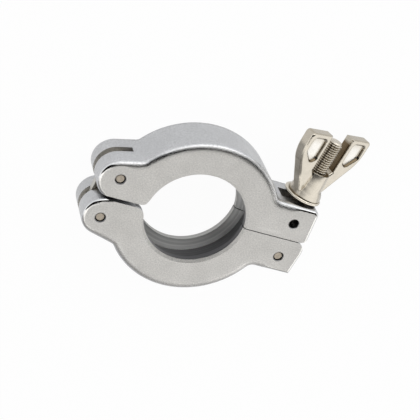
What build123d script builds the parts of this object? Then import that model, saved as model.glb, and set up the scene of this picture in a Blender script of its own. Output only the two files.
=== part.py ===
"""KF flange clamp: two cast jaws on a hinge link, closed by a swing bolt with a wing nut.

The clamp stands closed with no flange in it. The flange axis is +Z, X runs along the parting
plane from the hinge to the bolt, and +Y points to the upper jaw. The origin is the centre of
the lower jaw's circle at mid-width.
"""

from build123d import *
from math import cos, isclose, radians, sin, sqrt, tan
import os

os.makedirs("parts", exist_ok=True)

# Clamp body
body_width = 16.0
ring_radius = 28.1
edge_radius = 1.1
# The circles of the closed jaws pass each other, because no flange holds them apart.
upper_centre = (0.3, -2.0)
lower_centre = (0.0, 0.0)

# V groove that draws the two flange rims together
lip_radius = 17.05
lip_land = 1.95
bore_chamfer = 0.8
groove_root_radius = 20.5
flank_angle = 15.0

# Parting faces, with a wide gap at the hinge and a fine one at the bolt
upper_left_parting = -0.95
lower_left_parting = -2.2
upper_right_parting = 0.28
lower_right_parting = 0.0
upper_bore_corner = 3.0
lower_bore_corner = 4.2
upper_end_corner = 2.6
lower_end_corner = 3.6

# Hinge side, each "out" a distance beyond the ring's end
upper_hinge_out = 0.45
lower_hinge_out = 1.6
upper_hinge_end_out = 0.5
lower_hinge_end_out = 0.8
upper_hinge = (-ring_radius - upper_hinge_out, 5.8)
lower_hinge = (-ring_radius - lower_hinge_out, -8.95)
upper_hinge_end = (-ring_radius - upper_hinge_end_out, 5.0)
lower_hinge_end = (-ring_radius - lower_hinge_end_out, -8.7)
upper_hinge_end_radius = 7.0
lower_hinge_end_radius = 6.8
hinge_slope = 14.5
hinge_root_radius = 2.5
link_thickness = 2.5
link_end_radius = 4.4
link_offset = -0.4
link_side_clearance = 0.12
saw_radius = 42.0
saw_inset = 4.9
saw_reach = -ring_radius + saw_inset
saw_level = -1.5

# Pins, a loose fit in jaws and link, flush ends set back a little
pin_radius = 1.55
pin_clearance = 0.05
pin_setback = 0.5
pin_chamfer = 0.3
hole_chamfer = 0.15
spare_hole_radius = 1.65
spare_hole_out = 4.75
spare_hole = (ring_radius + spare_hole_out, 6.35)

# Bolt side, each "out" a distance beyond the ring's end
bolt_pivot_out = 5.1
bolt_pivot = (ring_radius + bolt_pivot_out, -6.75)
bolt_lean = 5.5
seat_level = 12.75
seat_root_radius = 2.0
upper_top_out = 11.8
upper_bottom_out = 12.4
upper_end_top = ring_radius + upper_top_out
upper_end_bottom = ring_radius + upper_bottom_out
upper_end_radius = 2.0
lower_lug_level = -12.45
lower_top_out = 12.5
lower_middle_out = 12.7
lower_bottom_out = 11.7
lower_end_top = ring_radius + lower_top_out
lower_end_middle = (ring_radius + lower_middle_out, -4.0)
lower_end_bottom = ring_radius + lower_bottom_out
lower_root_radius = 2.8
fork_width = 5.6
fork_inset = 1.3
fork_start = ring_radius - fork_inset
stop_rib_height = 0.2
stop_rib_width = 0.5
stop_rib_out = 9.9
stop_rib_end = ring_radius + stop_rib_out

# Swing bolt, heights measured from the pivot along the bolt
bolt_radius = 2.5
bolt_tip = 42.4
bolt_tip_chamfer = 0.6
eye_radius = 4.7
eye_side_clearance = 0.2

# Washer
washer_radius = 6.55
washer_bore_radius = 3.0
washer_thickness = 1.0
washer_height = 20.4
washer_shift = -0.4
washer_edge = 0.25

# Wing nut
nut_seat_gap = 0.05
thread_clearance = 0.05
nut_turn = 25.0
nut_base_radius = 5.8
nut_waist_radius = 4.55
nut_waist_rise = 3.2
nut_flare_radius = 6.0
nut_top_radius = 4.1
nut_top = 30.7
wing_thickness = 3.8
wing_top = 44.8
wing_inner = 5.3
wing_inner_root = 31.6
wing_knee = (13.0, 33.6)
wing_root = (5.6, 23.0)
wing_outer_radius = 12.0
wing_outer_turn = 36.0
wing_corner_radius = 1.3
wing_edge_radius = 0.7
recess_depth = 0.8
recess_inner = 7.3
recess_top = 42.9
recess_outer = 13.0
recess_foot = (9.2, 34.6)
recess_taper = 38.0
recess_corner = 1.1

overcut = 2.0
half_width = body_width / 2
reach = 2 * ring_radius


def ring_crossing(start, heading, centre):
    """Where a line first meets the ring's outside, from a start point and a heading in degrees."""
    along = Vector(cos(radians(heading)), sin(radians(heading)))
    offset = Vector(*start) - Vector(*centre)
    middle = -offset.dot(along)
    half_chord = sqrt(ring_radius**2 - offset.dot(offset) + middle**2)
    return Vector(*start) + along * (middle - half_chord)


def jaw_outline(side, centre, hinge_end, hinge_end_radius, left_parting, lug_points, lug_root_radius):
    """Outline of one cast half, carried on a little beyond its parting faces.

    side is 1 for the upper half and -1 for the lower one. lug_points run round the bolt lug,
    from its outer level to the parting face.
    """
    slope = radians(hinge_slope)
    tangent = (
        hinge_end[0] - hinge_end_radius * sin(slope),
        hinge_end[1] + side * hinge_end_radius * cos(slope),
    )
    hinge_root = ring_crossing(tangent, side * hinge_slope, centre)
    lug_root = ring_crossing(lug_points[0], 180, centre)
    drop = side * (hinge_end[1] - left_parting)
    half_chord = sqrt(hinge_end_radius**2 - drop**2)
    leave = (hinge_end[0] - half_chord, left_parting)
    fall = -side * half_chord / drop
    base = -side * ring_radius / 4
    with BuildSketch() as outline:
        with Locations(centre):
            Circle(ring_radius)
        with BuildLine():
            Polyline(
                (-reach, left_parting - fall * (reach + leave[0])),
                (leave[0] + (base - left_parting) / fall, base),
                (reach, base),
                (reach, side * reach),
                (-reach, side * reach),
                close=True,
            )
        make_face(mode=Mode.INTERSECT)
        with Locations(hinge_end):
            Circle(hinge_end_radius)
        with BuildLine():
            Polyline(
                tangent,
                hinge_root,
                (hinge_root.X, left_parting + fall * (hinge_root.X - leave[0])),
                leave,
                hinge_end,
                close=True,
            )
        make_face()
        with BuildLine():
            Polyline((0, lug_points[0][1]), *lug_points, (lug_points[-1][0], base), (0, base), close=True)
        make_face()
        fillet(outline.vertices().sort_by_distance(hinge_root)[0], hinge_root_radius)
        fillet(outline.vertices().sort_by_distance(lug_root)[0], lug_root_radius)
    return outline.sketch


def bore_cut(side, centre, left_parting, right_parting, corner_radius):
    """The bore and all that lies beyond the parting faces, with the hinge-side corner rounded."""
    corner = (centre[0] - sqrt(lip_radius**2 - (left_parting - centre[1]) ** 2), left_parting)
    with BuildSketch() as cut:
        with Locations(centre):
            Circle(lip_radius)
        with Locations((-reach / 2, left_parting - side * reach / 2)):
            Rectangle(reach, reach)
        with Locations((reach / 2, right_parting - side * reach / 2)):
            Rectangle(reach, reach)
        fillet(cut.vertices().sort_by_distance(corner)[0], corner_radius)
    return cut.sketch


def end_corner_cut(side, lug_end, parting, corner_radius):
    """The sliver cut away to round a bolt lug's corner at the parting face."""
    with BuildSketch() as cut:
        with Locations((lug_end, parting + side * corner_radius / 2)):
            Rectangle(2 * corner_radius, corner_radius)
        with Locations((lug_end - corner_radius, parting + side * corner_radius)):
            Circle(corner_radius, mode=Mode.SUBTRACT)
    return cut.sketch


def groove_section(centre):
    """Section of the V groove and of the chamfer at each end of the bore."""
    chamfer_start = half_width - bore_chamfer
    mouth = chamfer_start - lip_land
    root = mouth - (groove_root_radius - lip_radius) * tan(radians(flank_angle))
    with BuildSketch(Plane(origin=(*centre, 0), x_dir=(1, 0, 0), z_dir=(0, -1, 0))) as section:
        with BuildLine():
            Polyline(
                (lip_radius - overcut, mouth),
                (lip_radius, mouth),
                (groove_root_radius, root),
                (groove_root_radius, -root),
                (lip_radius, -mouth),
                (lip_radius - overcut, -mouth),
                close=True,
            )
        make_face()
        for face in (1, -1):
            with BuildLine():
                Polyline(
                    (lip_radius - overcut, face * (chamfer_start - overcut)),
                    (lip_radius + bore_chamfer + overcut, face * (half_width + overcut)),
                    (lip_radius - overcut, face * (half_width + overcut)),
                    close=True,
                )
            make_face()
    return section.sketch


def face_rims(part, radius):
    """The rims of the holes of one radius on the front and back faces."""
    rims = part.edges().filter_by(GeomType.CIRCLE)
    rims = rims.filter_by(lambda rim: isclose(rim.radius, radius, abs_tol=1e-6))
    return rims.filter_by(lambda rim: isclose(abs(rim.center().Z), half_width, abs_tol=1e-6))


hole_radius = pin_radius + pin_clearance
saw_width = link_thickness + 2 * link_side_clearance
fork_length = lower_end_middle[0] + overcut - fork_start

# Upper jaw: half a ring, the hinge lug, and the bolt lug with the nut's seat
upper_lug = [(upper_end_top, seat_level), (upper_end_bottom, upper_right_parting)]
with BuildPart() as upper_jaw:
    with BuildSketch() as upper_outline:
        add(
            jaw_outline(
                1,
                upper_centre,
                upper_hinge_end,
                upper_hinge_end_radius,
                upper_left_parting,
                upper_lug,
                seat_root_radius,
            )
        )
        fillet(upper_outline.vertices().sort_by_distance(upper_lug[0])[0], upper_end_radius)
    extrude(amount=half_width, both=True)
    fillet(upper_jaw.faces().filter_by(Axis.Z).edges(), edge_radius)
    with Locations((stop_rib_end - stop_rib_width / 2, seat_level, 0)):
        Box(stop_rib_width, 2 * stop_rib_height, body_width - 3 * edge_radius)
    with BuildSketch():
        add(bore_cut(1, upper_centre, upper_left_parting, upper_right_parting, upper_bore_corner))
        add(end_corner_cut(1, upper_end_bottom, upper_right_parting, upper_end_corner))
    extrude(amount=body_width, both=True, mode=Mode.SUBTRACT)
    add(groove_section(upper_centre))
    revolve(axis=Axis((*upper_centre, 0), (0, 0, 1)), mode=Mode.SUBTRACT)
    with Locations((saw_reach - saw_radius, saw_level, link_offset)):
        Cylinder(saw_radius, saw_width, mode=Mode.SUBTRACT)
    with Locations((fork_start + fork_length / 2, 0, 0)):
        Box(fork_length, reach, fork_width, mode=Mode.SUBTRACT)
    with Locations(upper_hinge):
        Cylinder(hole_radius, 2 * body_width, mode=Mode.SUBTRACT)
    with Locations(spare_hole):
        Cylinder(spare_hole_radius, 2 * body_width, mode=Mode.SUBTRACT)
    chamfer(face_rims(upper_jaw, hole_radius) + face_rims(upper_jaw, spare_hole_radius), hole_chamfer)
upper_jaw.part.label = "upper_jaw"
export_step(upper_jaw.part, "parts/upper_jaw.step")

# Lower jaw: the other half of the ring, with the fork that the bolt swings in
lower_lug = [
    (lower_end_bottom, lower_lug_level),
    lower_end_middle,
    (lower_end_top, lower_right_parting),
]
with BuildPart() as lower_jaw:
    with BuildSketch():
        add(
            jaw_outline(
                -1,
                lower_centre,
                lower_hinge_end,
                lower_hinge_end_radius,
                lower_left_parting,
                lower_lug,
                lower_root_radius,
            )
        )
    extrude(amount=half_width, both=True)
    fillet(lower_jaw.faces().filter_by(Axis.Z).edges(), edge_radius)
    with BuildSketch():
        add(bore_cut(-1, lower_centre, lower_left_parting, lower_right_parting, lower_bore_corner))
        add(end_corner_cut(-1, lower_end_top, lower_right_parting, lower_end_corner))
    extrude(amount=body_width, both=True, mode=Mode.SUBTRACT)
    add(groove_section(lower_centre))
    revolve(axis=Axis((*lower_centre, 0), (0, 0, 1)), mode=Mode.SUBTRACT)
    with Locations((saw_reach - saw_radius, saw_level, link_offset)):
        Cylinder(saw_radius, saw_width, mode=Mode.SUBTRACT)
    with Locations((fork_start + fork_length / 2, 0, 0)):
        Box(fork_length, reach, fork_width, mode=Mode.SUBTRACT)
    with Locations(lower_hinge, bolt_pivot):
        Cylinder(hole_radius, 2 * body_width, mode=Mode.SUBTRACT)
    chamfer(face_rims(lower_jaw, hole_radius), hole_chamfer)
lower_jaw.part.label = "lower_jaw"
export_step(lower_jaw.part, "parts/lower_jaw.step")

# Hinge link: a plate with round ends that joins the two hinge pins
with BuildPart() as hinge_link:
    with BuildSketch(Plane.XY.offset(link_offset)):
        with Locations(upper_hinge, lower_hinge):
            Circle(link_end_radius)
        make_hull()
        with Locations(upper_hinge, lower_hinge):
            Circle(hole_radius, mode=Mode.SUBTRACT)
    extrude(amount=link_thickness / 2, both=True)
hinge_link.part.label = "hinge_link"
export_step(hinge_link.part, "parts/hinge_link.step")

# The three pins, alike but for their places
pin_places = {
    "upper_hinge_pin": upper_hinge,
    "lower_hinge_pin": lower_hinge,
    "bolt_pivot_pin": bolt_pivot,
}
for pin_name, place in pin_places.items():
    with BuildPart() as pin:
        with Locations(place):
            Cylinder(pin_radius, body_width - 2 * pin_setback)
        chamfer(pin.edges().filter_by(GeomType.CIRCLE), pin_chamfer)
    pin.part.label = pin_name
    export_step(pin.part, f"parts/{pin_name}.step")

# Swing bolt: an eye between the ears of the lower fork, and a straight shank
lean = radians(bolt_lean)
bolt_plane = Plane(
    origin=(*bolt_pivot, 0),
    x_dir=(cos(lean), -sin(lean), 0),
    z_dir=(sin(lean), cos(lean), 0),
)
eye_thickness = fork_width - 2 * eye_side_clearance
with BuildPart() as swing_bolt:
    with BuildSketch(Plane.XY):
        with Locations(bolt_pivot):
            Circle(eye_radius)
    extrude(amount=eye_thickness / 2, both=True)
    with BuildSketch(bolt_plane):
        Circle(bolt_radius)
    extrude(amount=bolt_tip)
    tip = swing_bolt.faces().sort_by(Axis(bolt_plane.origin, bolt_plane.z_dir))[-1]
    chamfer(tip.edges(), bolt_tip_chamfer)
    with Locations(bolt_pivot):
        Cylinder(hole_radius, body_width, mode=Mode.SUBTRACT)
swing_bolt.part.label = "swing_bolt"
export_step(swing_bolt.part, "parts/swing_bolt.step")

# Washer, hanging on the bolt a little off its axis
with BuildPart() as washer:
    with BuildSketch(bolt_plane.offset(washer_height)):
        with Locations((washer_shift, 0)):
            Circle(washer_radius)
            Circle(washer_bore_radius, mode=Mode.SUBTRACT)
    extrude(amount=washer_thickness)
    rims = washer.edges().filter_by(GeomType.CIRCLE)
    chamfer(rims.filter_by(lambda rim: rim.radius > washer_bore_radius), washer_edge)
washer.part.label = "washer"
export_step(washer.part, "parts/washer.step")

# Wing nut: a turned hub between two cast wings with a shallow recess in each face
nut_plane = Plane(bolt_plane * Rotation(0, 0, nut_turn))
nut_bottom = washer_height + washer_thickness + nut_seat_gap
wing_plane = Plane(origin=nut_plane.origin, x_dir=nut_plane.x_dir, z_dir=-nut_plane.y_dir)
with BuildPart() as recess:
    with BuildSketch(wing_plane.offset(wing_thickness / 2 - recess_depth)) as recess_floor:
        with BuildLine():
            Polyline(
                (recess_inner, recess_top),
                (recess_outer, recess_top),
                (recess_outer, (recess_top + wing_knee[1]) / 2),
                recess_foot,
                (recess_inner, recess_foot[1] + recess_corner),
                close=True,
            )
        make_face()
        fillet(recess_floor.vertices(), recess_corner)
    extrude(amount=2 * recess_depth, taper=-recess_taper)
with BuildPart() as wing_nut:
    with BuildSketch(wing_plane) as wing_outline:
        with BuildLine():
            edge = Line(wing_root, wing_knee)
            bulge = JernArc(edge @ 1, edge % 1, wing_outer_radius, wing_outer_turn)
            Polyline(
                bulge @ 1,
                ((bulge @ 1).X, wing_top),
                (wing_inner, wing_top),
                (wing_inner, wing_inner_root),
                (bolt_radius + 2 * thread_clearance, wing_inner_root - (wing_inner - bolt_radius)),
                (bolt_radius + 2 * thread_clearance, wing_root[1]),
                wing_root,
            )
        make_face()
        fillet(wing_outline.vertices().sort_by_distance(((bulge @ 1).X, wing_top))[0], wing_corner_radius)
    extrude(amount=wing_thickness / 2, both=True)
    fillet(wing_nut.faces().filter_by(wing_plane).edges(), wing_edge_radius)
    add(recess.part, mode=Mode.SUBTRACT)
    mirror(recess.part, about=wing_plane, mode=Mode.SUBTRACT)
    mirror(about=Plane(origin=nut_plane.origin, z_dir=nut_plane.x_dir))
    with BuildSketch(wing_plane):
        with BuildLine():
            Polyline(
                (nut_waist_radius, nut_bottom + nut_waist_rise),
                (nut_top_radius, nut_top),
                (0, nut_top),
                (0, nut_bottom),
                (nut_base_radius, nut_bottom),
            )
            RadiusArc(
                (nut_base_radius, nut_bottom),
                (nut_waist_radius, nut_bottom + nut_waist_rise),
                -nut_flare_radius,
            )
        make_face()
    revolve(axis=Axis(nut_plane.origin, nut_plane.z_dir))
    with BuildSketch(nut_plane):
        Circle(bolt_radius + thread_clearance)
    extrude(amount=wing_top, mode=Mode.SUBTRACT)
wing_nut.part.label = "wing_nut"
export_step(wing_nut.part, "parts/wing_nut.step")
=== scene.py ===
"""Studio scene of a flange clamp: cast jaws, a link hinge, a swing bolt and a wing nut.

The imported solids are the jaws, the pins, the link, the washer and the nut. The swing bolt is
modelled here, because its thread is too fine for the solid.
"""

import logging
from dataclasses import dataclass, field
from enum import Enum
from math import cos, pi, radians, sin, tau

import bpy
from mathutils import Euler, Matrix, Vector

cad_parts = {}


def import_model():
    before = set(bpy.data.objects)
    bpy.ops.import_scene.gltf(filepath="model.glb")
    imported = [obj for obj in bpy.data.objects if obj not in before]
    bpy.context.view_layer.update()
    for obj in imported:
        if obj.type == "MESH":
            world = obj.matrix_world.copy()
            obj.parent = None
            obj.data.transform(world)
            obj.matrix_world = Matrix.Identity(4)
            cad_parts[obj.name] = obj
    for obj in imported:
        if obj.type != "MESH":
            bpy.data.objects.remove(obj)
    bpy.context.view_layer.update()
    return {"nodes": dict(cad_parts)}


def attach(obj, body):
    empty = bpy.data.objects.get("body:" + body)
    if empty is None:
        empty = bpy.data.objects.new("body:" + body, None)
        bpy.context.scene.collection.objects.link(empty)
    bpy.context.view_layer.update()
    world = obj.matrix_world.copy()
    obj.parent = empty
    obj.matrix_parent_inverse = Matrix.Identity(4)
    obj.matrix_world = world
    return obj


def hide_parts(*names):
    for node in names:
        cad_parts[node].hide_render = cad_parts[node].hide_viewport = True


LOG = logging.getLogger("clamp")
MM = 0.001
SOFT_SAMPLES = 8

Tree = bpy.types.NodeTree
Socket = bpy.types.NodeSocket
Colour = tuple[float, float, float, float]
Point = tuple[float, float, float]
# The value that gives none of something and the value that gives all of it.
Span = tuple[float, float]
Pair = tuple[float, float]

WHITE: Colour = (1.0, 1.0, 1.0, 1.0)


class Body(Enum):
    """The rigid bodies that the modelled pieces ride on."""

    SWING_BOLT = "swing_bolt"


class Slot(Enum):
    """The record's material slots."""

    PLATED = "plated"


def linear(code: str) -> Colour:
    """Turn an sRGB colour into the linear one that shaders take.

    Args:
        code: The colour as six hex digits.

    Returns:
        Red, green, blue and an alpha of 1, all linear.
    """
    channels = [int(code[i : i + 2], 16) / 255 for i in (0, 2, 4)]
    red, green, blue = (c / 12.92 if c <= 0.04045 else ((c + 0.055) / 1.055) ** 2.4 for c in channels)
    return red, green, blue, 1.0


def scaled(colour: tuple[float, ...], factor: float) -> Colour:
    """Return a linear colour made darker or lighter by a factor."""
    return colour[0] * factor, colour[1] * factor, colour[2] * factor, 1.0


def grey(tone: float) -> Colour:
    """Return a linear grey, where a tone of 1 is white."""
    return scaled(WHITE, tone)


def add_node(
    tree: Tree,
    kind: str,
    links: dict[str | int, Socket] | None = None,
    values: dict[str | int, object] | None = None,
    **settings: object,
) -> bpy.types.Node:
    """Add one node with its settings, values and links.

    Args:
        tree: The node tree to add to.
        kind: The node's type name without the ShaderNode prefix.
        links: Output sockets to link in, by input name or index.
        values: Plain values, by input name or index.
        settings: Attributes of the node itself.

    Returns:
        The new node.
    """
    node = tree.nodes.new("ShaderNode" + kind)
    for name, setting in settings.items():
        setattr(node, name, setting)
    for socket, value in (values or {}).items():
        node.inputs[socket].default_value = value
    for socket, output in (links or {}).items():
        tree.links.new(output, node.inputs[socket])
    return node


def add_ramp(tree: Tree, factor: Socket, stops: list[tuple[float, Colour]]) -> Socket:
    """Add a colour ramp and return its colour output.

    Args:
        tree: The node tree to add to.
        factor: The socket that drives the ramp.
        stops: Positions and linear colours, in order.

    Returns:
        The ramp's colour socket.
    """
    ramp = add_node(tree, "ValToRGB", {"Fac": factor})
    elements = ramp.color_ramp.elements
    while len(elements) < len(stops):
        elements.new(0.5)
    for element, (position, colour) in zip(elements, stops):
        element.position = position
        element.color = colour
    return ramp.outputs["Color"]


@dataclass(frozen=True)
class Finish:
    """A surface finish: what every finish shares.

    Lengths are in millimetres, and patterns are scaled from them.
    """

    name: str
    colour: str
    roughness: float

    def tree(self) -> tuple[bpy.types.Material, Tree, bpy.types.Node]:
        """Start the material with one Principled shader.

        Returns:
            The material, its node tree and the shader node.
        """
        material = bpy.data.materials.new(self.name)
        material.use_nodes = True
        tree = material.node_tree
        shader = next(node for node in tree.nodes if node.type == "BSDF_PRINCIPLED")
        return material, tree, shader

    def millimetres(self, tree: Tree) -> Socket:
        """Return the point on the piece in millimetres."""
        place = add_node(tree, "TexCoord").outputs["Object"]
        return add_node(tree, "VectorMath", {0: place}, {3: 1 / MM}, operation="SCALE").outputs[0]

    def own(self, tree: Tree, normal: Socket) -> Socket:
        """Return a world normal in the piece's own frame."""
        turn = {"vector_type": "NORMAL", "convert_from": "WORLD", "convert_to": "OBJECT"}
        return add_node(tree, "VectorTransform", {0: normal}, **turn).outputs[0]

    def from_centre(self, tree: Tree, point: Socket, centre: Point) -> Socket:
        """Return the offset of a point from a centre."""
        return add_node(tree, "VectorMath", {0: point}, {1: centre}, operation="SUBTRACT").outputs[0]

    def part(self, tree: Tree, vector: Socket, axis: tuple[float, ...]) -> Socket:
        """Return a vector's part along an axis."""
        dot = add_node(tree, "VectorMath", {0: vector}, {1: axis}, operation="DOT_PRODUCT")
        return dot.outputs["Value"]

    def size(self, tree: Tree, value: Socket) -> Socket:
        """Return a value without its sign."""
        return add_node(tree, "Math", {0: value}, operation="ABSOLUTE").outputs[0]

    def between(self, tree: Tree, value: Socket, span: Span, ends: Pair) -> Socket:
        """Return what goes from one end to the other over a span of a value, level beyond."""
        limits = {1: span[0], 2: span[1], 3: ends[0], 4: ends[1]}
        return add_node(tree, "MapRange", {0: value}, limits).outputs[0]

    def share(self, tree: Tree, value: Socket, span: Span) -> Socket:
        """Return 0 at a span's first value and 1 at its second, straight between, level beyond."""
        return self.between(tree, value, span, (0.0, 1.0))

    def product(self, tree: Tree, shares: list[Socket]) -> Socket:
        """Return the product of some shares.

        Args:
            tree: The node tree to add to.
            shares: The sockets to multiply, one or more.

        Returns:
            The socket with their product.
        """
        total = shares[0]
        for share in shares[1:]:
            total = add_node(tree, "Math", {0: total, 1: share}, operation="MULTIPLY").outputs[0]
        return total

    def tinted(self, tree: Tree, colour: Socket, tint: Socket) -> Socket:
        """Return a colour multiplied by another."""
        multiply = {"data_type": "RGBA", "blend_type": "MULTIPLY"}
        return add_node(tree, "Mix", {6: colour, 7: tint}, {0: 1.0}, **multiply).outputs[2]

    def blended(self, tree: Tree, share: Socket, under: Socket, code: str, mode: str) -> Socket:
        """Return a colour with another laid over it by a share."""
        kind = {"data_type": "RGBA", "blend_type": mode}
        return add_node(tree, "Mix", {0: share, 6: under}, {7: linear(code)}, **kind).outputs[2]


@dataclass(frozen=True)
class CastJawFinish(Finish):
    """Cast aluminium, bead blasted and tumbled, with the bore turned on a lathe.

    The blasting leaves an even matte grey with a fine grain. Tumbling burnishes the rounded
    edges, so they catch the light as a crisp line. The turned bore is glossier, with painted shade
    from its front lip into the groove's root and painted reflection on the flank and lip behind it,
    and its cutting marks run round the axis.
    """

    axis: Point = (0.0, 0.0, 0.0)
    holes: tuple[Point, ...] = ()
    half_width: float = 8.0
    # Blasted faces and sides
    side_colour: str = "C4C5C7"
    side_roughness: float = 0.34
    edge_roughness: float = 0.13
    face_colour_span: Span = (0.7, 0.97)
    face_matte_span: Span = (0.996, 0.9998)
    edge_gloss_span: Span = (0.02, 0.15)
    grain: float = 0.42
    grain_detail: float = 2.0
    grain_tones: Pair = (0.84, 1.12)
    cloud_scale: float = 0.14
    cloud_detail: float = 3.0
    cloud_tones: Pair = (0.95, 1.05)
    noise_span: Span = (0.3, 0.7)
    relief_strength: float = 0.2
    relief_depth: float = 0.02
    # Where tumbling wears the edges: not in the bore, slots, lug ends, partings and pin holes
    edge_reach: float = 3.2
    worn_past_bore: Span = (20.9, 21.8)
    worn_past_slot: Span = (5.2, 5.6)
    worn_to_bolt_end: Span = (34.0, 30.0)
    worn_to_hinge_end: Span = (-34.0, -31.5)
    parting_level: float = -1.0
    worn_past_parting: Span = (2.4, 4.0)
    worn_past_hole: Span = (4.4, 5.4)
    # Painted shade in gaps, on the bore's chamfer and round the pins
    gap_shade_reach: float = 1.6
    gap_shade_tone: float = 0.25
    gap_shade_span: Span = (0.2, 0.62)
    rim_span: Span = (17.86, 17.8)
    rim_shade_tone: float = 0.95
    rim_lift: float = 4.0
    ring_span: Span = (1.72, 1.98)
    ring_shade_tone: float = 0.25
    # Turned bore
    # Painted shade from the front lip into the groove's root, painted reflection on the flank and lip
    # behind it
    root_shade_colour: str = "525254"
    flank_reflection_colour: str = "F2F2F0"
    lip_reflection_colour: str = "BCBCBA"
    root_end: float = 0.755
    flank_share: Pair = (0.775, 0.82)
    lip_start: float = 0.84
    turned_roughness: float = 0.34
    dull_roughness: float = 0.6
    dull_span: Span = (-4.1, -4.5)
    turned_reach: float = 20.9
    turned_half_width: float = 7.15
    inward_span: Span = (-0.12, -0.22)
    streak_scale: float = 1.6
    streak_detail: float = 2.0
    streak_span: Span = (0.35, 0.65)
    streak_tones: Pair = (0.7, 1.25)
    mark_scale: float = 1.2
    mark_distortion: float = 0.6

    def build(self) -> bpy.types.Material:
        """Build the material.

        Returns:
            The finished material.
        """
        material, tree, shader = self.tree()
        point = self.millimetres(tree)
        crisp = self.own(tree, add_node(tree, "NewGeometry").outputs["Normal"])
        turned = self.turned_mask(tree, point, crisp)
        worn = self.worn_normal(tree, point)
        grains = {"Scale": 1 / self.grain, "Detail": self.grain_detail}
        speck = add_node(tree, "TexNoise", {"Vector": point}, grains).outputs["Fac"]
        blasted = self.blasted(tree, point, speck, self.own(tree, worn))
        layers = {0: turned, 6: blasted, 7: self.turned(tree, point)}
        colour = add_node(tree, "Mix", layers, data_type="RGBA").outputs[2]
        outside = self.outside_roughness(tree, point, self.own(tree, worn))
        layers = {0: turned, 2: outside, 3: self.turned_gloss(tree, point)}
        gloss = add_node(tree, "Mix", layers, data_type="FLOAT").outputs[0]
        # The colour is multiplied by painted shade in gaps, on the bore's chamfer and round the pins.
        tree.links.new(self.tinted(tree, colour, self.painted_shade(tree, point)), shader.inputs["Base Color"])
        tree.links.new(gloss, shader.inputs["Roughness"])
        tree.links.new(self.relief(tree, point, speck, turned, worn), shader.inputs["Normal"])
        shader.inputs["Metallic"].default_value = 1.0
        return material

    def depth(self, tree: Tree, vector: Socket) -> Socket:
        """Return a vector's part along the flange axis."""
        return add_node(tree, "SeparateXYZ", {0: vector}).outputs["Z"]

    def steepness(self, tree: Tree, vector: Socket) -> Socket:
        """Return the size of a vector's part along the flange axis."""
        return self.size(tree, self.depth(tree, vector))

    def flat_offset(self, tree: Tree, point: Socket, centre: Point) -> Socket:
        """Return the offset of a point from an upright line through a centre."""
        offset = self.from_centre(tree, point, centre)
        return add_node(tree, "VectorMath", {0: offset}, {1: (1, 1, 0)}, operation="MULTIPLY").outputs[0]

    def flat_reach(self, tree: Tree, point: Socket, centre: Point) -> Socket:
        """Return the distance from an upright line through a centre."""
        flat = self.flat_offset(tree, point, centre)
        return add_node(tree, "VectorMath", {0: flat}, operation="LENGTH").outputs["Value"]

    def two_tones(self, tree: Tree, value: Socket, span: Span, tones: Pair) -> Socket:
        """Return a grey that goes from one tone to another over a span."""
        return add_ramp(tree, value, [(place, grey(tone)) for place, tone in zip(span, tones)])

    def painted_shade(self, tree: Tree, point: Socket) -> Socket:
        """Return the painted shade in gaps, on the bore's chamfer and in the rings round the pins.

        Args:
            tree: The node tree to add to.
            point: The point on the piece in millimetres.

        Returns:
            The socket with the colour to multiply by.
        """
        # Painted shade: ambient occlusion darkens the gaps, and fixed tones darken the chamfer and the
        # rings round the pin holes.
        reach = {"Distance": self.gap_shade_reach * MM}
        shade = add_node(tree, "AmbientOcclusion", values=reach, samples=SOFT_SAMPLES).outputs["AO"]
        gaps = self.two_tones(tree, shade, self.gap_shade_span, (self.gap_shade_tone, 1.0))
        rim = self.two_tones(tree, self.rim_mask(tree, point), (0.0, 1.0), (1.0, self.rim_shade_tone))
        tone = self.tinted(tree, gaps, rim)
        for hole in self.holes:
            away = self.share(tree, self.flat_reach(tree, point, hole), self.ring_span)
            tone = self.tinted(tree, tone, self.two_tones(tree, away, (0.0, 1.0), (self.ring_shade_tone, 1.0)))
        return tone

    def rim_mask(self, tree: Tree, point: Socket) -> Socket:
        """Return 1 on the chamfer between the bore and the front or back face.

        Args:
            tree: The node tree to add to.
            point: The point on the piece in millimetres.

        Returns:
            The socket with the mask.
        """
        near = self.share(tree, self.flat_reach(tree, point, self.axis), self.rim_span)
        steep = self.steepness(tree, point)
        past = add_node(tree, "Math", {0: steep}, {1: self.turned_half_width}, operation="GREATER_THAN")
        return self.product(tree, [near, past.outputs[0]])

    def worn_normal(self, tree: Tree, point: Socket) -> Socket:
        """Return the world normal, eased over the outer edges as tumbling wears them.

        The bore's chamfer is turned towards the face beside it.

        Args:
            tree: The node tree to add to.
            point: The point on the piece in millimetres.

        Returns:
            The socket with the normal.
        """
        crisp = add_node(tree, "NewGeometry").outputs["Normal"]
        reach = {"Radius": self.edge_reach * MM}
        eased = add_node(tree, "Bevel", values=reach, samples=SOFT_SAMPLES).outputs[0]
        layers = {0: self.outside_mask(tree, point), 4: crisp, 5: eased}
        worn = add_node(tree, "Mix", layers, data_type="VECTOR").outputs[1]
        side = add_node(tree, "Math", {0: self.depth(tree, point)}, operation="SIGN").outputs[0]
        push = self.product(tree, [side, self.rim_mask(tree, point)])
        upright = {0: (0.0, 0.0, self.rim_lift)}
        lift = add_node(tree, "VectorMath", {3: push}, upright, operation="SCALE").outputs[0]
        lifted = add_node(tree, "VectorMath", {0: worn, 1: lift}, operation="ADD").outputs[0]
        return add_node(tree, "VectorMath", {0: lifted}, operation="NORMALIZE").outputs[0]

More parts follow.
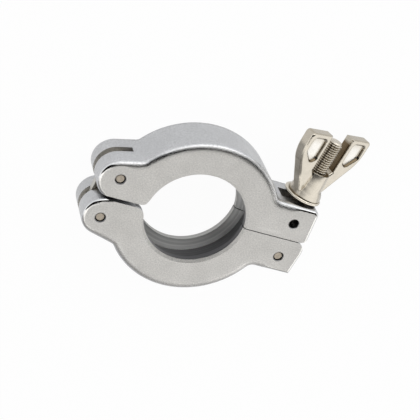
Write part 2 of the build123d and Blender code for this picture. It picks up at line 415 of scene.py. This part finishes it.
    def outside_mask(self, tree: Tree, point: Socket) -> Socket:
        """Return 1 near the outline's edges, and 0 at the bore, the pin holes, slots and partings.

        Args:
            tree: The node tree to add to.
            point: The point on the piece in millimetres.

        Returns:
            The socket with the mask.
        """
        place = add_node(tree, "SeparateXYZ", {0: point}).outputs
        level = {1: -self.parting_level}
        off_parting = add_node(tree, "Math", {0: place["Y"]}, level, operation="ADD").outputs[0]
        terms = [
            (self.flat_reach(tree, point, self.axis), self.worn_past_bore),
            (self.steepness(tree, point), self.worn_past_slot),
            (place["X"], self.worn_to_bolt_end),
            (place["X"], self.worn_to_hinge_end),
            (self.size(tree, off_parting), self.worn_past_parting),
        ]
        terms += [(self.flat_reach(tree, point, hole), self.worn_past_hole) for hole in self.holes]
        return self.product(tree, [self.share(tree, value, span) for value, span in terms])

    def outside_roughness(self, tree: Tree, point: Socket, normal: Socket) -> Socket:
        """Return the roughness outside the bore: sides, burnished edges and blasted faces.

        Args:
            tree: The node tree to add to.
            point: The point on the piece in millimetres.
            normal: The worn normal in the piece's own frame.

        Returns:
            The socket with the roughness.
        """
        steep = self.steepness(tree, normal)
        glosses = (self.side_roughness, self.edge_roughness)
        onto_edge = self.between(tree, steep, self.edge_gloss_span, glosses)
        onto_face = self.share(tree, steep, self.face_matte_span)
        rim = self.rim_mask(tree, point)
        matte = add_node(tree, "Math", {0: onto_face, 1: rim}, operation="MAXIMUM").outputs[0]
        layers = {0: matte, 2: onto_edge}
        return add_node(tree, "Mix", layers, {3: self.roughness}, data_type="FLOAT").outputs[0]

    def blasted(self, tree: Tree, point: Socket, speck: Socket, normal: Socket) -> Socket:
        """Return the blasted colour, cooler on the sides, with faint clouds and a fine fleck.

        Args:
            tree: The node tree to add to.
            point: The point on the piece in millimetres.
            speck: The fine grain, from 0 to 1.
            normal: The worn normal in the piece's own frame.

        Returns:
            The socket with the colour.
        """
        onto_face = self.share(tree, self.steepness(tree, normal), self.face_colour_span)
        base = add_ramp(tree, onto_face, [(0.0, linear(self.side_colour)), (1.0, linear(self.colour))])
        clouds = {"Scale": self.cloud_scale, "Detail": self.cloud_detail}
        cloud = add_node(tree, "TexNoise", {"Vector": point}, clouds).outputs["Fac"]
        for pattern, tones in ((cloud, self.cloud_tones), (speck, self.grain_tones)):
            base = self.tinted(tree, base, self.two_tones(tree, pattern, self.noise_span, tones))
        return base

    def turned_gloss(self, tree: Tree, point: Socket) -> Socket:
        """Return the roughness in the bore: the flank and lip behind the root are duller."""
        glosses = (self.turned_roughness, self.dull_roughness)
        return self.between(tree, self.depth(tree, point), self.dull_span, glosses)

    def turned(self, tree: Tree, point: Socket) -> Socket:
        """Return the turned colour: painted shade from the front lip into the groove's root, painted
        reflection on the flank and lip behind it.

        Args:
            tree: The node tree to add to.
            point: The point on the piece in millimetres.

        Returns:
            The socket with the colour.
        """
        depth = self.depth(tree, point)
        share = self.share(tree, depth, (self.half_width, -self.half_width))
        root, flank, lip = (linear(code) for code in (self.root_shade_colour, self.flank_reflection_colour, self.lip_reflection_colour))
        first, last = self.flank_share
        stops = [(0.0, root), (self.root_end, root), (first, flank), (last, flank), (self.lip_start, lip)]
        tone = add_ramp(tree, share, stops)
        streaks = {"Scale": self.streak_scale, "Detail": self.streak_detail}
        cuts = add_node(tree, "TexNoise", {"W": depth}, streaks, noise_dimensions="1D").outputs["Fac"]
        return self.tinted(tree, tone, self.two_tones(tree, cuts, self.streak_span, self.streak_tones))

    def turned_mask(self, tree: Tree, point: Socket, normal: Socket) -> Socket:
        """Return 1 on the bore's faces that look in towards the flange axis, and 0 elsewhere.

        Args:
            tree: The node tree to add to.
            point: The point on the piece in millimetres.
            normal: The crisp normal in the piece's own frame.

        Returns:
            The socket with the mask.
        """
        flat = self.flat_offset(tree, point, self.axis)
        radial = add_node(tree, "VectorMath", {0: flat}, operation="NORMALIZE").outputs[0]
        facing = add_node(tree, "VectorMath", {0: normal, 1: radial}, operation="DOT_PRODUCT")
        reach = add_node(tree, "VectorMath", {0: flat}, operation="LENGTH").outputs["Value"]
        masks = [self.share(tree, facing.outputs["Value"], self.inward_span)]
        steep = self.steepness(tree, point)
        for value, limit in ((reach, self.turned_reach), (steep, self.turned_half_width)):
            masks.append(add_node(tree, "Math", {0: value}, {1: limit}, operation="LESS_THAN").outputs[0])
        return self.product(tree, masks)

    def relief(self, tree: Tree, point: Socket, speck: Socket, turned: Socket, worn: Socket) -> Socket:
        """Return the normal: blasted grain outside, turning marks in the bore.

        Args:
            tree: The node tree to add to.
            point: The point on the piece in millimetres.
            speck: The fine grain, from 0 to 1.
            turned: The mask of the turned faces.
            worn: The worn normal in the world.

        Returns:
            The socket with the normal.
        """
        bands = {"Scale": self.mark_scale, "Distortion": self.mark_distortion}
        marks = add_node(tree, "TexWave", {"Vector": point}, bands, bands_direction="Z").outputs["Fac"]
        height = add_node(tree, "Mix", {0: turned, 2: speck, 3: marks}, data_type="FLOAT").outputs[0]
        bumps = {"Strength": self.relief_strength, "Distance": self.relief_depth * MM}
        return add_node(tree, "Bump", {"Height": height, "Normal": worn}, bumps).outputs[0]


@dataclass(frozen=True)
class PlatedFinish(Finish):
    """Bright nickel plate over steel.

    The plate is warm and mirror-like, and the casting or wire below it leaves a soft waviness
    that breaks up the reflections.
    """

    waviness: float = 1.6
    depth: float = 0.05
    edge_reach: float = 0.3
    # Painted shade: ambient occlusion over this reach darkens the plate in creases and recesses through
    # these stops
    crease_shade_reach: float = 3.0
    crease_shade_stops: tuple[tuple[float, str], ...] = ((0.25, "4A4030"), (0.5, "B4AA98"), (0.78, "FFFFFF"))
    cloud_scale: float = 0.35
    cloud_detail: float = 2.0
    cloud_span: Span = (0.35, 0.65)
    cloud_tones: Pair = (0.92, 1.04)
    haze_span: Span = (0.3, 0.7)
    haze_shares: Pair = (0.8, 1.3)
    wave_detail: float = 1.0
    wave_strength: float = 0.5

    def build(self) -> bpy.types.Material:
        """Build the material.

        Returns:
            The finished material.
        """
        material, tree, shader = self.tree()
        point = self.millimetres(tree)
        base = linear(self.colour)
        clouds = {"Scale": self.cloud_scale, "Detail": self.cloud_detail}
        cloud = add_node(tree, "TexNoise", {"Vector": point}, clouds).outputs["Fac"]
        stops = [(place, scaled(base, tone)) for place, tone in zip(self.cloud_span, self.cloud_tones)]
        tone = add_ramp(tree, cloud, stops)
        clear, hazy = (self.roughness * share for share in self.haze_shares)
        haze = self.between(tree, cloud, self.haze_span, (clear, hazy))
        waves = {"Scale": 1 / self.waviness, "Detail": self.wave_detail}
        wave = add_node(tree, "TexNoise", {"Vector": point}, waves).outputs["Fac"]
        reach = {"Radius": self.edge_reach * MM}
        bevel = add_node(tree, "Bevel", values=reach, samples=SOFT_SAMPLES).outputs[0]
        surface = {"Height": wave, "Normal": self.eased(tree, point, bevel)}
        bumps = {"Strength": self.wave_strength, "Distance": self.depth * MM}
        bump = add_node(tree, "Bump", surface, bumps).outputs[0]
        # Painted shade in creases and recesses, from ambient occlusion
        reach = {"Distance": self.crease_shade_reach * MM}
        shade = add_node(tree, "AmbientOcclusion", values=reach, samples=SOFT_SAMPLES).outputs["AO"]
        crease_shade = add_ramp(tree, shade, [(place, linear(code)) for place, code in self.crease_shade_stops])
        crease_shaded = self.tinted(tree, tone, crease_shade)
        tree.links.new(self.with_painted_light(tree, point, crease_shaded), shader.inputs["Base Color"])
        tree.links.new(haze, shader.inputs["Roughness"])
        tree.links.new(bump, shader.inputs["Normal"])
        shader.inputs["Metallic"].default_value = 1.0
        return material

    def with_painted_light(self, tree: Tree, point: Socket, colour: Socket) -> Socket:
        """Return the colour with this piece's painted highlights and shade; plain plate has none."""
        return colour

    def eased(self, tree: Tree, point: Socket, normal: Socket) -> Socket:
        """Return the world normal as this piece's own shape bends it; plain plate keeps it."""
        return normal


@dataclass(frozen=True)
class CastNutFinish(PlatedFinish):
    """Nickel plate over a cast wing nut.

    The recess floors carry a painted highlight, pale in their middles, their lower walls a painted
    dark reflection of the overhead, and the ends and the inner edges painted shade. The flare at
    the foot is shaded like the straight hub. Places are given across, along and out from the
    bolt's pivot.
    """

    origin: Point = (33.2, -6.75, 0.0)
    across: Point = (0.90217, -0.08687, -0.42262)
    along: Point = (0.09585, 0.9954, 0.0)
    out: Point = (0.42067, -0.04051, 0.90631)
    # Painted highlight, pale in the middle of each recess floor
    floor_highlight_colour: str = "DAD7D1"
    floor_depth: Span = (1.3, 1.14)
    floor_middle: Pair = (10.0, 38.9)
    floor_reach: Pair = (3.3, 4.6)
    level_share: float = 0.4
    recess_across: tuple[Span, ...] = ((6.7, 7.0), (13.6, 13.3))
    recess_along: tuple[Span, ...] = ((33.8, 34.1), (43.5, 43.2))
    # Painted dark reflection on the lower recess walls
    wall_reflection_colour: str = "8A8070"
    wall_lean: float = 0.7
    wall_facing: Span = (0.12, 0.4)
    # Painted shade on the faces that look along the bolt, the wing ends
    end_shade_colour: str = "F0EEEA"
    end_facing: Span = (0.6, 0.95)
    # Painted shade on the inner edges of the wings beside the hub
    inner_shade_colour: str = "9A8C78"
    inner_facing: Span = (0.6, 0.9)
    inner_across: Span = (6.2, 5.9)
    inner_along: tuple[Span, ...] = ((30.8, 31.2), (43.6, 42.4))
    foot_along: Span = (31.0, 27.5)
    foot_lean: Span = (0.97, 0.9)

    def with_painted_light(self, tree: Tree, point: Socket, colour: Socket) -> Socket:
        """Return the colour with a painted highlight on the recess floors, a painted dark reflection on the
        recess walls and painted shade on the ends and inner edges.

        Args:
            tree: The node tree to add to.
            point: The point on the piece in millimetres.
            colour: The plate's colour.

        Returns:
            The socket with the marked colour.
        """
        offset = self.from_centre(tree, point, self.origin)
        normal = self.own(tree, add_node(tree, "NewGeometry").outputs["Normal"])
        wide = self.size(tree, self.part(tree, offset, self.across))
        high = self.part(tree, offset, self.along)
        deep = self.size(tree, self.part(tree, offset, self.out))
        limits = [(wide, span) for span in self.recess_across]
        limits += [(high, span) for span in self.recess_along]
        recess = self.product(tree, [self.share(tree, value, span) for value, span in limits])
        # Painted highlight: a pale spot in the middle of each recess floor
        spots = zip((wide, high), self.floor_middle, self.floor_reach)
        spread = self.product(tree, [self.bulge(tree, *spot) for spot in spots])
        floor = self.product(tree, [recess, self.share(tree, deep, self.floor_depth), spread])
        colour = self.blended(tree, floor, colour, self.floor_highlight_colour, "MIX")
        # Painted dark reflection on the recess walls that face the slant
        slant = tuple(self.wall_lean * (b - a) for a, b in zip(self.across, self.along))
        towards = self.part(tree, normal, slant)
        wall = self.product(tree, [recess, self.share(tree, towards, self.wall_facing)])
        colour = self.blended(tree, wall, colour, self.wall_reflection_colour, "MULTIPLY")
        # Painted shade on the wing ends, by their facing along the bolt
        end = self.share(tree, self.part(tree, normal, self.along), self.end_facing)
        colour = self.blended(tree, end, colour, self.end_shade_colour, "MULTIPLY")
        # Painted shade on the sideways-facing inner edges beside the hub
        sideways = self.size(tree, self.part(tree, normal, self.across))
        limits = [(sideways, self.inner_facing), (wide, self.inner_across)]
        limits += [(high, span) for span in self.inner_along]
        inner = self.product(tree, [self.share(tree, value, span) for value, span in limits])
        return self.blended(tree, inner, colour, self.inner_shade_colour, "MULTIPLY")

    def eased(self, tree: Tree, point: Socket, normal: Socket) -> Socket:
        """Return the world normal with the flare at the foot eased into the straight hub.

        The hub's axis is the one that it has at rest.

        Args:
            tree: The node tree to add to.
            point: The point on the piece in millimetres.
            normal: The world normal.

        Returns:
            The socket with the eased normal.
        """
        offset = self.from_centre(tree, point, self.origin)
        lean = self.part(tree, normal, self.along)
        high = self.share(tree, self.part(tree, offset, self.along), self.foot_along)
        foot = self.product(tree, [high, self.share(tree, self.size(tree, lean), self.foot_lean)])
        amount = self.product(tree, [foot, lean])
        excess = add_node(tree, "VectorMath", {3: amount}, {0: self.along}, operation="SCALE").outputs[0]
        straight = add_node(tree, "VectorMath", {0: normal, 1: excess}, operation="SUBTRACT").outputs[0]
        return add_node(tree, "VectorMath", {0: straight}, operation="NORMALIZE").outputs[0]

    def bulge(self, tree: Tree, value: Socket, middle: float, reach: float) -> Socket:
        """Return 1 near a middle value, falling to 0 a reach away from it."""
        offset = add_node(tree, "Math", {0: value}, {1: middle}, operation="SUBTRACT").outputs[0]
        return self.share(tree, self.size(tree, offset), (reach, self.level_share * reach))


@dataclass(frozen=True)
class CroppedPinFinish(Finish):
    """A cropped steel pin with a thin warm oxide.

    The sheared ends are dull and faintly streaked, and the warm tint sets them off against
    the grey castings.
    """

    stretch: Point = (3.0, 0.7, 0.7)
    streak_scale: float = 1.4
    streak_detail: float = 3.0
    streak_span: Span = (0.3, 0.7)
    streak_tones: Pair = (0.85, 1.08)
    streak_strength: float = 0.3
    streak_depth: float = 0.02
    metal_share: float = 0.6

    def build(self) -> bpy.types.Material:
        """Build the material.

        Returns:
            The finished material.
        """
        material, tree, shader = self.tree()
        point = self.millimetres(tree)
        base = linear(self.colour)
        drawn = add_node(tree, "VectorMath", {0: point}, {1: self.stretch}, operation="MULTIPLY").outputs[0]
        streaks = {"Scale": self.streak_scale, "Detail": self.streak_detail}
        noise = add_node(tree, "TexNoise", {"Vector": drawn}, streaks).outputs["Fac"]
        stops = [(place, scaled(base, tone)) for place, tone in zip(self.streak_span, self.streak_tones)]
        bumps = {"Strength": self.streak_strength, "Distance": self.streak_depth * MM}
        bump = add_node(tree, "Bump", {"Height": noise}, bumps).outputs[0]
        tree.links.new(add_ramp(tree, noise, stops), shader.inputs["Base Color"])
        tree.links.new(bump, shader.inputs["Normal"])
        shader.inputs["Roughness"].default_value = self.roughness
        shader.inputs["Metallic"].default_value = self.metal_share
        return material


@dataclass(frozen=True)
class BackdropFinish(Finish):
    """White studio paper.

    It shows as white to the eye and in the metal, and keeps a soft share of the shadow.
    """

    glow: float = 0.96
    glow_in_metal: float = 0.76

    def build(self) -> bpy.types.Material:
        """Build the material.

        Returns:
            The finished material.
        """
        material, tree, shader = self.tree()
        shader.inputs["Base Color"].default_value = linear(self.colour)
        shader.inputs["Roughness"].default_value = self.roughness
        white = add_node(tree, "Emission", values={"Color": WHITE, "Strength": 1.0})
        rays = add_node(tree, "LightPath").outputs
        seen, mirrored = (
            add_node(tree, "Math", {0: rays[ray]}, {1: glow}, operation="MULTIPLY").outputs[0]
            for ray, glow in (("Is Camera Ray", self.glow), ("Is Glossy Ray", self.glow_in_metal))
        )
        share = add_node(tree, "Math", {0: seen, 1: mirrored}, operation="MAXIMUM").outputs[0]
        mixed = add_node(tree, "MixShader", {0: share, 1: shader.outputs[0], 2: white.outputs[0]})
        surface = next(node for node in tree.nodes if node.type == "OUTPUT_MATERIAL").inputs["Surface"]
        tree.links.new(mixed.outputs[0], surface)
        return material


NICKEL_BOLT = PlatedFinish(
    "nickel plated threaded steel",
    "CFC8BB",
    0.26,
    waviness=1.2,
    depth=0.01,
    edge_reach=0.05,
    crease_shade_reach=1.0,
)
NICKEL_NUT = CastNutFinish(
    "nickel plated cast nut", "C2BBAE", 0.19, waviness=2.2, depth=0.05, edge_reach=0.5, crease_shade_reach=2.2
)
NICKEL_WASHER = PlatedFinish("nickel plated pressed washer", "D6CFC2", 0.2, waviness=3.0, depth=0.02)
ROLLED_LINK = PlatedFinish("rolled steel link plate", "C4C2BC", 0.32, waviness=0.8, depth=0.01)
CAST_UPPER = CastJawFinish(
    "bead blasted aluminium, upper jaw",
    "D7D5D1",
    0.5,
    axis=(0.3, -2.0, 0.0),
    holes=((-28.55, 5.8, 0.0), (32.85, 6.35, 0.0)),
)
CAST_LOWER = CastJawFinish(
    "bead blasted aluminium, lower jaw", "D7D5D1", 0.5, holes=((-29.7, -8.95, 0.0), (33.2, -6.75, 0.0))
)
PIN_END = CroppedPinFinish("cropped steel pin", "BDB2A2", 0.45)
PAPER = BackdropFinish("white studio paper", "F4F4F4", 0.9)


class MeshBuilder:
    """Collects rings of points and the faces between them."""

    def __init__(self) -> None:
        """Start empty."""
        self.points: list[Vector] = []
        self.faces: list[tuple[int, ...]] = []

    def ring(self, points: list[Vector]) -> range:
        """Add a closed ring of points.

        Args:
            points: The ring's points, in order.

        Returns:
            The numbers of the points.
        """
        start = len(self.points)
        self.points.extend(points)
        return range(start, start + len(points))

    def skin(self, lower: range, upper: range) -> None:
        """Join two rings with as many points by a band of quads.

        Args:
            lower: The point numbers of one ring.
            upper: The point numbers of the other.
        """
        count = len(lower)
        for i in range(count):
            j = (i + 1) % count
            self.faces.append((lower[i], lower[j], upper[j], upper[i]))

    def cap(self, ring: range, turned: bool = False) -> None:
        """Close a ring with one flat face, turned over if asked."""
        self.faces.append(tuple(reversed(ring)) if turned else tuple(ring))

    def finish(self, name: str, place: Matrix) -> bpy.types.Object:
        """Make the object, with its mesh moved into the row frame.

        Args:
            name: The object's name.
            place: Where the mesh's own frame stands.

        Returns:
            The new object, linked to the scene.
        """
        mesh = bpy.data.meshes.new(name)
        mesh.from_pydata([place @ point for point in self.points], [], self.faces)
        mesh.validate()
        piece = bpy.data.objects.new(name, mesh)
        bpy.context.scene.collection.objects.link(piece)
        return piece


@dataclass
class SwingBolt:
    """The eye bolt with its rolled thread.

    Lengths are in millimetres, and heights run along the bolt from its pivot.
    """

    pivot: tuple[float, float] = (33.2, -6.75)
    lean: float = 5.5
    eye_radius: float = 4.7
    eye_width: float = 5.2
    eye_edge: float = 0.35
    eye_around: int = 72
    eye_corner: tuple[float, ...] = (0, 30, 60, 90)
    hole_radius: float = 1.6
    radius: float = 2.5
    pitch: float = 0.8
    thread_depth: float = 0.44
    root_share: float = 0.12
    flank_share: float = 0.70
    neck_start: float = 3.4
    thread_start: float = 8.0
    tip: float = 42.4
    tip_chamfer: float = 0.6
    around: int = 48
    rings_per_pitch: int = 10
    sharp_angle: float = 30
    pieces: list[bpy.types.Object] = field(default_factory=list)

    def build(self) -> None:
        """Build the eye and the threaded shank as one piece and dress it."""
        eye = self.eye()
        shank = self.shank()
        with bpy.context.temp_override(active_object=eye, selected_editable_objects=[eye, shank]):
            bpy.ops.object.join()
        eye.data.materials.append(NICKEL_BOLT.build())
        smooth_by_angle(eye, self.sharp_angle)
        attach(eye, Body.SWING_BOLT.value)
        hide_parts("swing_bolt")
        self.pieces.append(eye)

    def frame(self) -> Matrix:
        """Return the bolt's frame: origin at the pivot, local Z along the shank."""
        turn = Matrix.Rotation(-radians(self.lean), 4, "Z") @ Matrix.Rotation(-pi / 2, 4, "X")
        return Matrix.Translation((self.pivot[0] * MM, self.pivot[1] * MM, 0)) @ turn

    def eye(self) -> bpy.types.Object:
        """Build the eye, a thick ring with rounded edges.

        Returns:
            The new object.
        """
        half = self.eye_width / 2
        edge = self.eye_edge
        section = [(self.hole_radius, -half + edge / 2), (self.hole_radius + edge / 2, -half)]
        section += [
            (self.eye_radius - edge + edge * sin(radians(a)), -half + edge - edge * cos(radians(a)))
            for a in self.eye_corner
        ]
        section += [(radius, -height) for radius, height in reversed(section)]
        builder = MeshBuilder()
        angles = [tau * i / self.eye_around for i in range(self.eye_around)]
        rings = [
            builder.ring([Vector((r * cos(a), r * sin(a), z)) * MM for a in angles]) for r, z in section
        ]
        for first, second in zip(rings, rings[1:] + rings[:1]):
            builder.skin(first, second)
        place = Matrix.Translation((self.pivot[0] * MM, self.pivot[1] * MM, 0))
        return builder.finish("threaded_swing_bolt", place)

    def thread_radius(self, height: float, turn: float) -> float:
        """Return the thread's radius at a height and an angle.

        Args:
            height: Distance along the bolt, in millimetres.
            turn: Angle round the bolt as a share of a full turn.

        Returns:
            The radius in millimetres.
        """
        phase = (height / self.pitch - turn) % 1.0
        slope = abs(2 * phase - 1)
        flank = min(1.0, max(0.0, (slope - self.root_share) / self.flank_share))
        fade = min(1.0, max(0.0, (height - self.thread_start) / self.pitch))
        radius = self.radius - self.thread_depth * fade * (1 - flank)
        return min(radius, self.radius - self.tip_chamfer + (self.tip - height))

    def shank(self) -> bpy.types.Object:
        """Build the shank, plain below and threaded to the tip.

        Returns:
            The new object.
        """
        builder = MeshBuilder()
        heights = [self.neck_start, self.thread_start]
        count = round((self.tip - self.thread_start) / self.pitch * self.rings_per_pitch)
        step = (self.tip - self.thread_start) / count
        heights += [self.thread_start + step * (i + 1) for i in range(count)]
        rings = []
        for height in heights:
            points = []
            for i in range(self.around):
                radius = self.thread_radius(height, i / self.around)
                angle = tau * i / self.around
                points.append(Vector((radius * cos(angle), radius * sin(angle), height)) * MM)
            rings.append(builder.ring(points))
        for lower, upper in zip(rings, rings[1:]):
            builder.skin(lower, upper)
        builder.cap(rings[0], turned=True)
        builder.cap(rings[-1])
        return builder.finish("bolt_shank", self.frame())


def smooth_by_angle(piece: bpy.types.Object, degrees: float) -> None:
    """Shade a piece smooth, with edges sharper than an angle kept crisp.

    Args:
        piece: The object to shade.
        degrees: The angle.
    """
    mesh = piece.data
    mesh.shade_smooth()
    mesh.set_sharp_from_angle(angle=radians(degrees))


@dataclass
class PackedPieces:
    """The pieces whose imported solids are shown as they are."""

    finishes: dict[str, Finish] = field(
        default_factory=lambda: {
            "upper_jaw": CAST_UPPER,
            "lower_jaw": CAST_LOWER,
            "hinge_link": ROLLED_LINK,
            "upper_hinge_pin": PIN_END,
            "lower_hinge_pin": PIN_END,
            "bolt_pivot_pin": PIN_END,
            "washer": NICKEL_WASHER,
            "wing_nut": NICKEL_NUT,
        }
    )

    def dress(self, nodes: dict[str, bpy.types.Object]) -> None:
        """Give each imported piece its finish.

        Args:
            nodes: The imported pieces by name.
        """
        built: dict[str, bpy.types.Material] = {}
        for name, finish in self.finishes.items():
            if finish.name not in built:
                built[finish.name] = finish.build()
            slots = nodes[name].material_slots
            if slots:
                for material_slot in slots:
                    material_slot.link = "OBJECT"
                    material_slot.material = built[finish.name]
            else:
                nodes[name].data.materials.append(built[finish.name])
            LOG.info("%s: %s", name, finish.name)


@dataclass
class Studio:
    """The paper, the room's light, the lamp and the camera.

    Lengths are in millimetres. Banks give the room's light by its direction across the clamp.
    """

    floor_level: float = -8.0
    floor_reach: float = 3000.0
    camera_place: Point = (-145.3747, 169.1181, 337.4194)
    camera_turn: Point = (-32.0932, -12.0228, 23.5549)
    lens: float = 106.3587
    sensor: float = 36.0
    nearest: float = 10.0
    softbox_place: Point = (120, 520, 330)
    softbox_size: Pair = (620, 300)
    softbox_watts: float = 0.3
    world_strength: float = 1.0
    wall_strength: float = 0.6
    low_rise: Span = (-0.05, 0.12)
    high_rise: Span = (0.45, 0.62)
    banks: tuple[tuple[float, float], ...] = (
        (-0.95, 0.35),
        (-0.72, 0.5),
        (-0.5, 1.45),
        (-0.32, 1.75),
        (-0.24, 0.0),
        (0.48, 0.0),
        (0.56, 1.8),
        (0.95, 1.5),
    )
    low_banks: tuple[tuple[float, float], ...] = (
        (-0.95, 0.35),
        (-0.72, 0.5),
        (-0.5, 1.45),
        (0.56, 1.45),
        (0.95, 1.5),
    )

    def build(self) -> None:
        """Build the whole studio."""
        self.floor()
        self.world()
        self.lamp("back softbox", self.softbox_place, (0, 0, 0), self.softbox_size, self.softbox_watts)
        self.camera()

    def floor(self) -> None:
        """Lay the paper under the clamp."""
        reach = self.floor_reach * MM
        level = self.floor_level * MM
        builder = MeshBuilder()
        corners = [(-reach, -reach), (reach, -reach), (reach, reach), (-reach, reach)]
        builder.cap(builder.ring([Vector((x, y, level)) for x, y in corners]))
        floor = builder.finish("paper", Matrix())
        floor.data.materials.append(PAPER.build())

    def world(self) -> None:
        """Fill the room with soft light, with a dark gap between two banks high overhead."""
        world = bpy.data.worlds.new("soft room")
        world.use_nodes = True
        tree = world.node_tree
        background = next(node for node in tree.nodes if node.type == "BACKGROUND")
        direction = add_node(tree, "TexCoord").outputs["Generated"]
        parts = add_node(tree, "SeparateXYZ", {0: direction}).outputs
        sides = {1: -1.0, 2: 1.0, 3: 0.0, 4: 1.0}
        across = add_node(tree, "MapRange", {0: parts["Y"]}, sides).outputs[0]
        light = None
        for banks, rise in ((self.low_banks, self.low_rise), (self.banks, self.high_rise)):
            stops = [(0.5 + level / 2, grey(strength)) for level, strength in banks]
            limits = {1: rise[0], 2: rise[1], 3: 0.0, 4: 1.0}
            height = add_node(tree, "MapRange", {0: parts["Z"]}, limits).outputs[0]
            layers = {0: height, 7: add_ramp(tree, across, stops)} | ({6: light} if light else {})
            under = {} if light else {6: grey(self.wall_strength)}
            light = add_node(tree, "Mix", layers, under, data_type="RGBA").outputs[2]
        tree.links.new(light, background.inputs["Color"])
        background.inputs["Strength"].default_value = self.world_strength
        bpy.context.scene.world = world

    def lamp(
        self,
        name: str,
        place: Point,
        target: Point,
        size: tuple[float, float],
        watts: float,
    ) -> None:
        """Hang one soft rectangular lamp.

        Args:
            name: The lamp's name.
            place: Where it hangs, in millimetres.
            target: What it points at, in millimetres.
            size: Its width and height, in millimetres.
            watts: Its power.
        """
        data = bpy.data.lights.new(name, "AREA")
        data.shape = "RECTANGLE"
        data.size = size[0] * MM
        data.size_y = size[1] * MM
        data.energy = watts
        lamp = bpy.data.objects.new(name, data)
        lamp.location = Vector(place) * MM
        towards = Vector(target) - Vector(place)
        lamp.rotation_euler = towards.to_track_quat("-Z", "Y").to_euler()
        bpy.context.scene.collection.objects.link(lamp)

    def camera(self) -> None:
        """Set up the camera."""
        data = bpy.data.cameras.new("camera")
        data.lens = self.lens
        data.sensor_width = self.sensor
        data.clip_start = self.nearest * MM
        camera = bpy.data.objects.new("camera", data)
        camera.location = Vector(self.camera_place) * MM
        camera.rotation_euler = Euler([radians(a) for a in self.camera_turn], "XYZ")
        bpy.context.scene.collection.objects.link(camera)
        bpy.context.scene.camera = camera


def main() -> None:
    """Build the clamp's looks and the studio round it."""
    logging.basicConfig(level=logging.INFO, format="%(message)s")
    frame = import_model()
    PackedPieces().dress(frame["nodes"])
    bolt = SwingBolt()
    bolt.build()
    for piece in bolt.pieces:
        LOG.info("%s: %d faces", piece.name, len(piece.data.polygons))
    Studio().build()
    bpy.context.scene.view_settings.view_transform = "Standard"


if __name__ == "__main__":
    main()
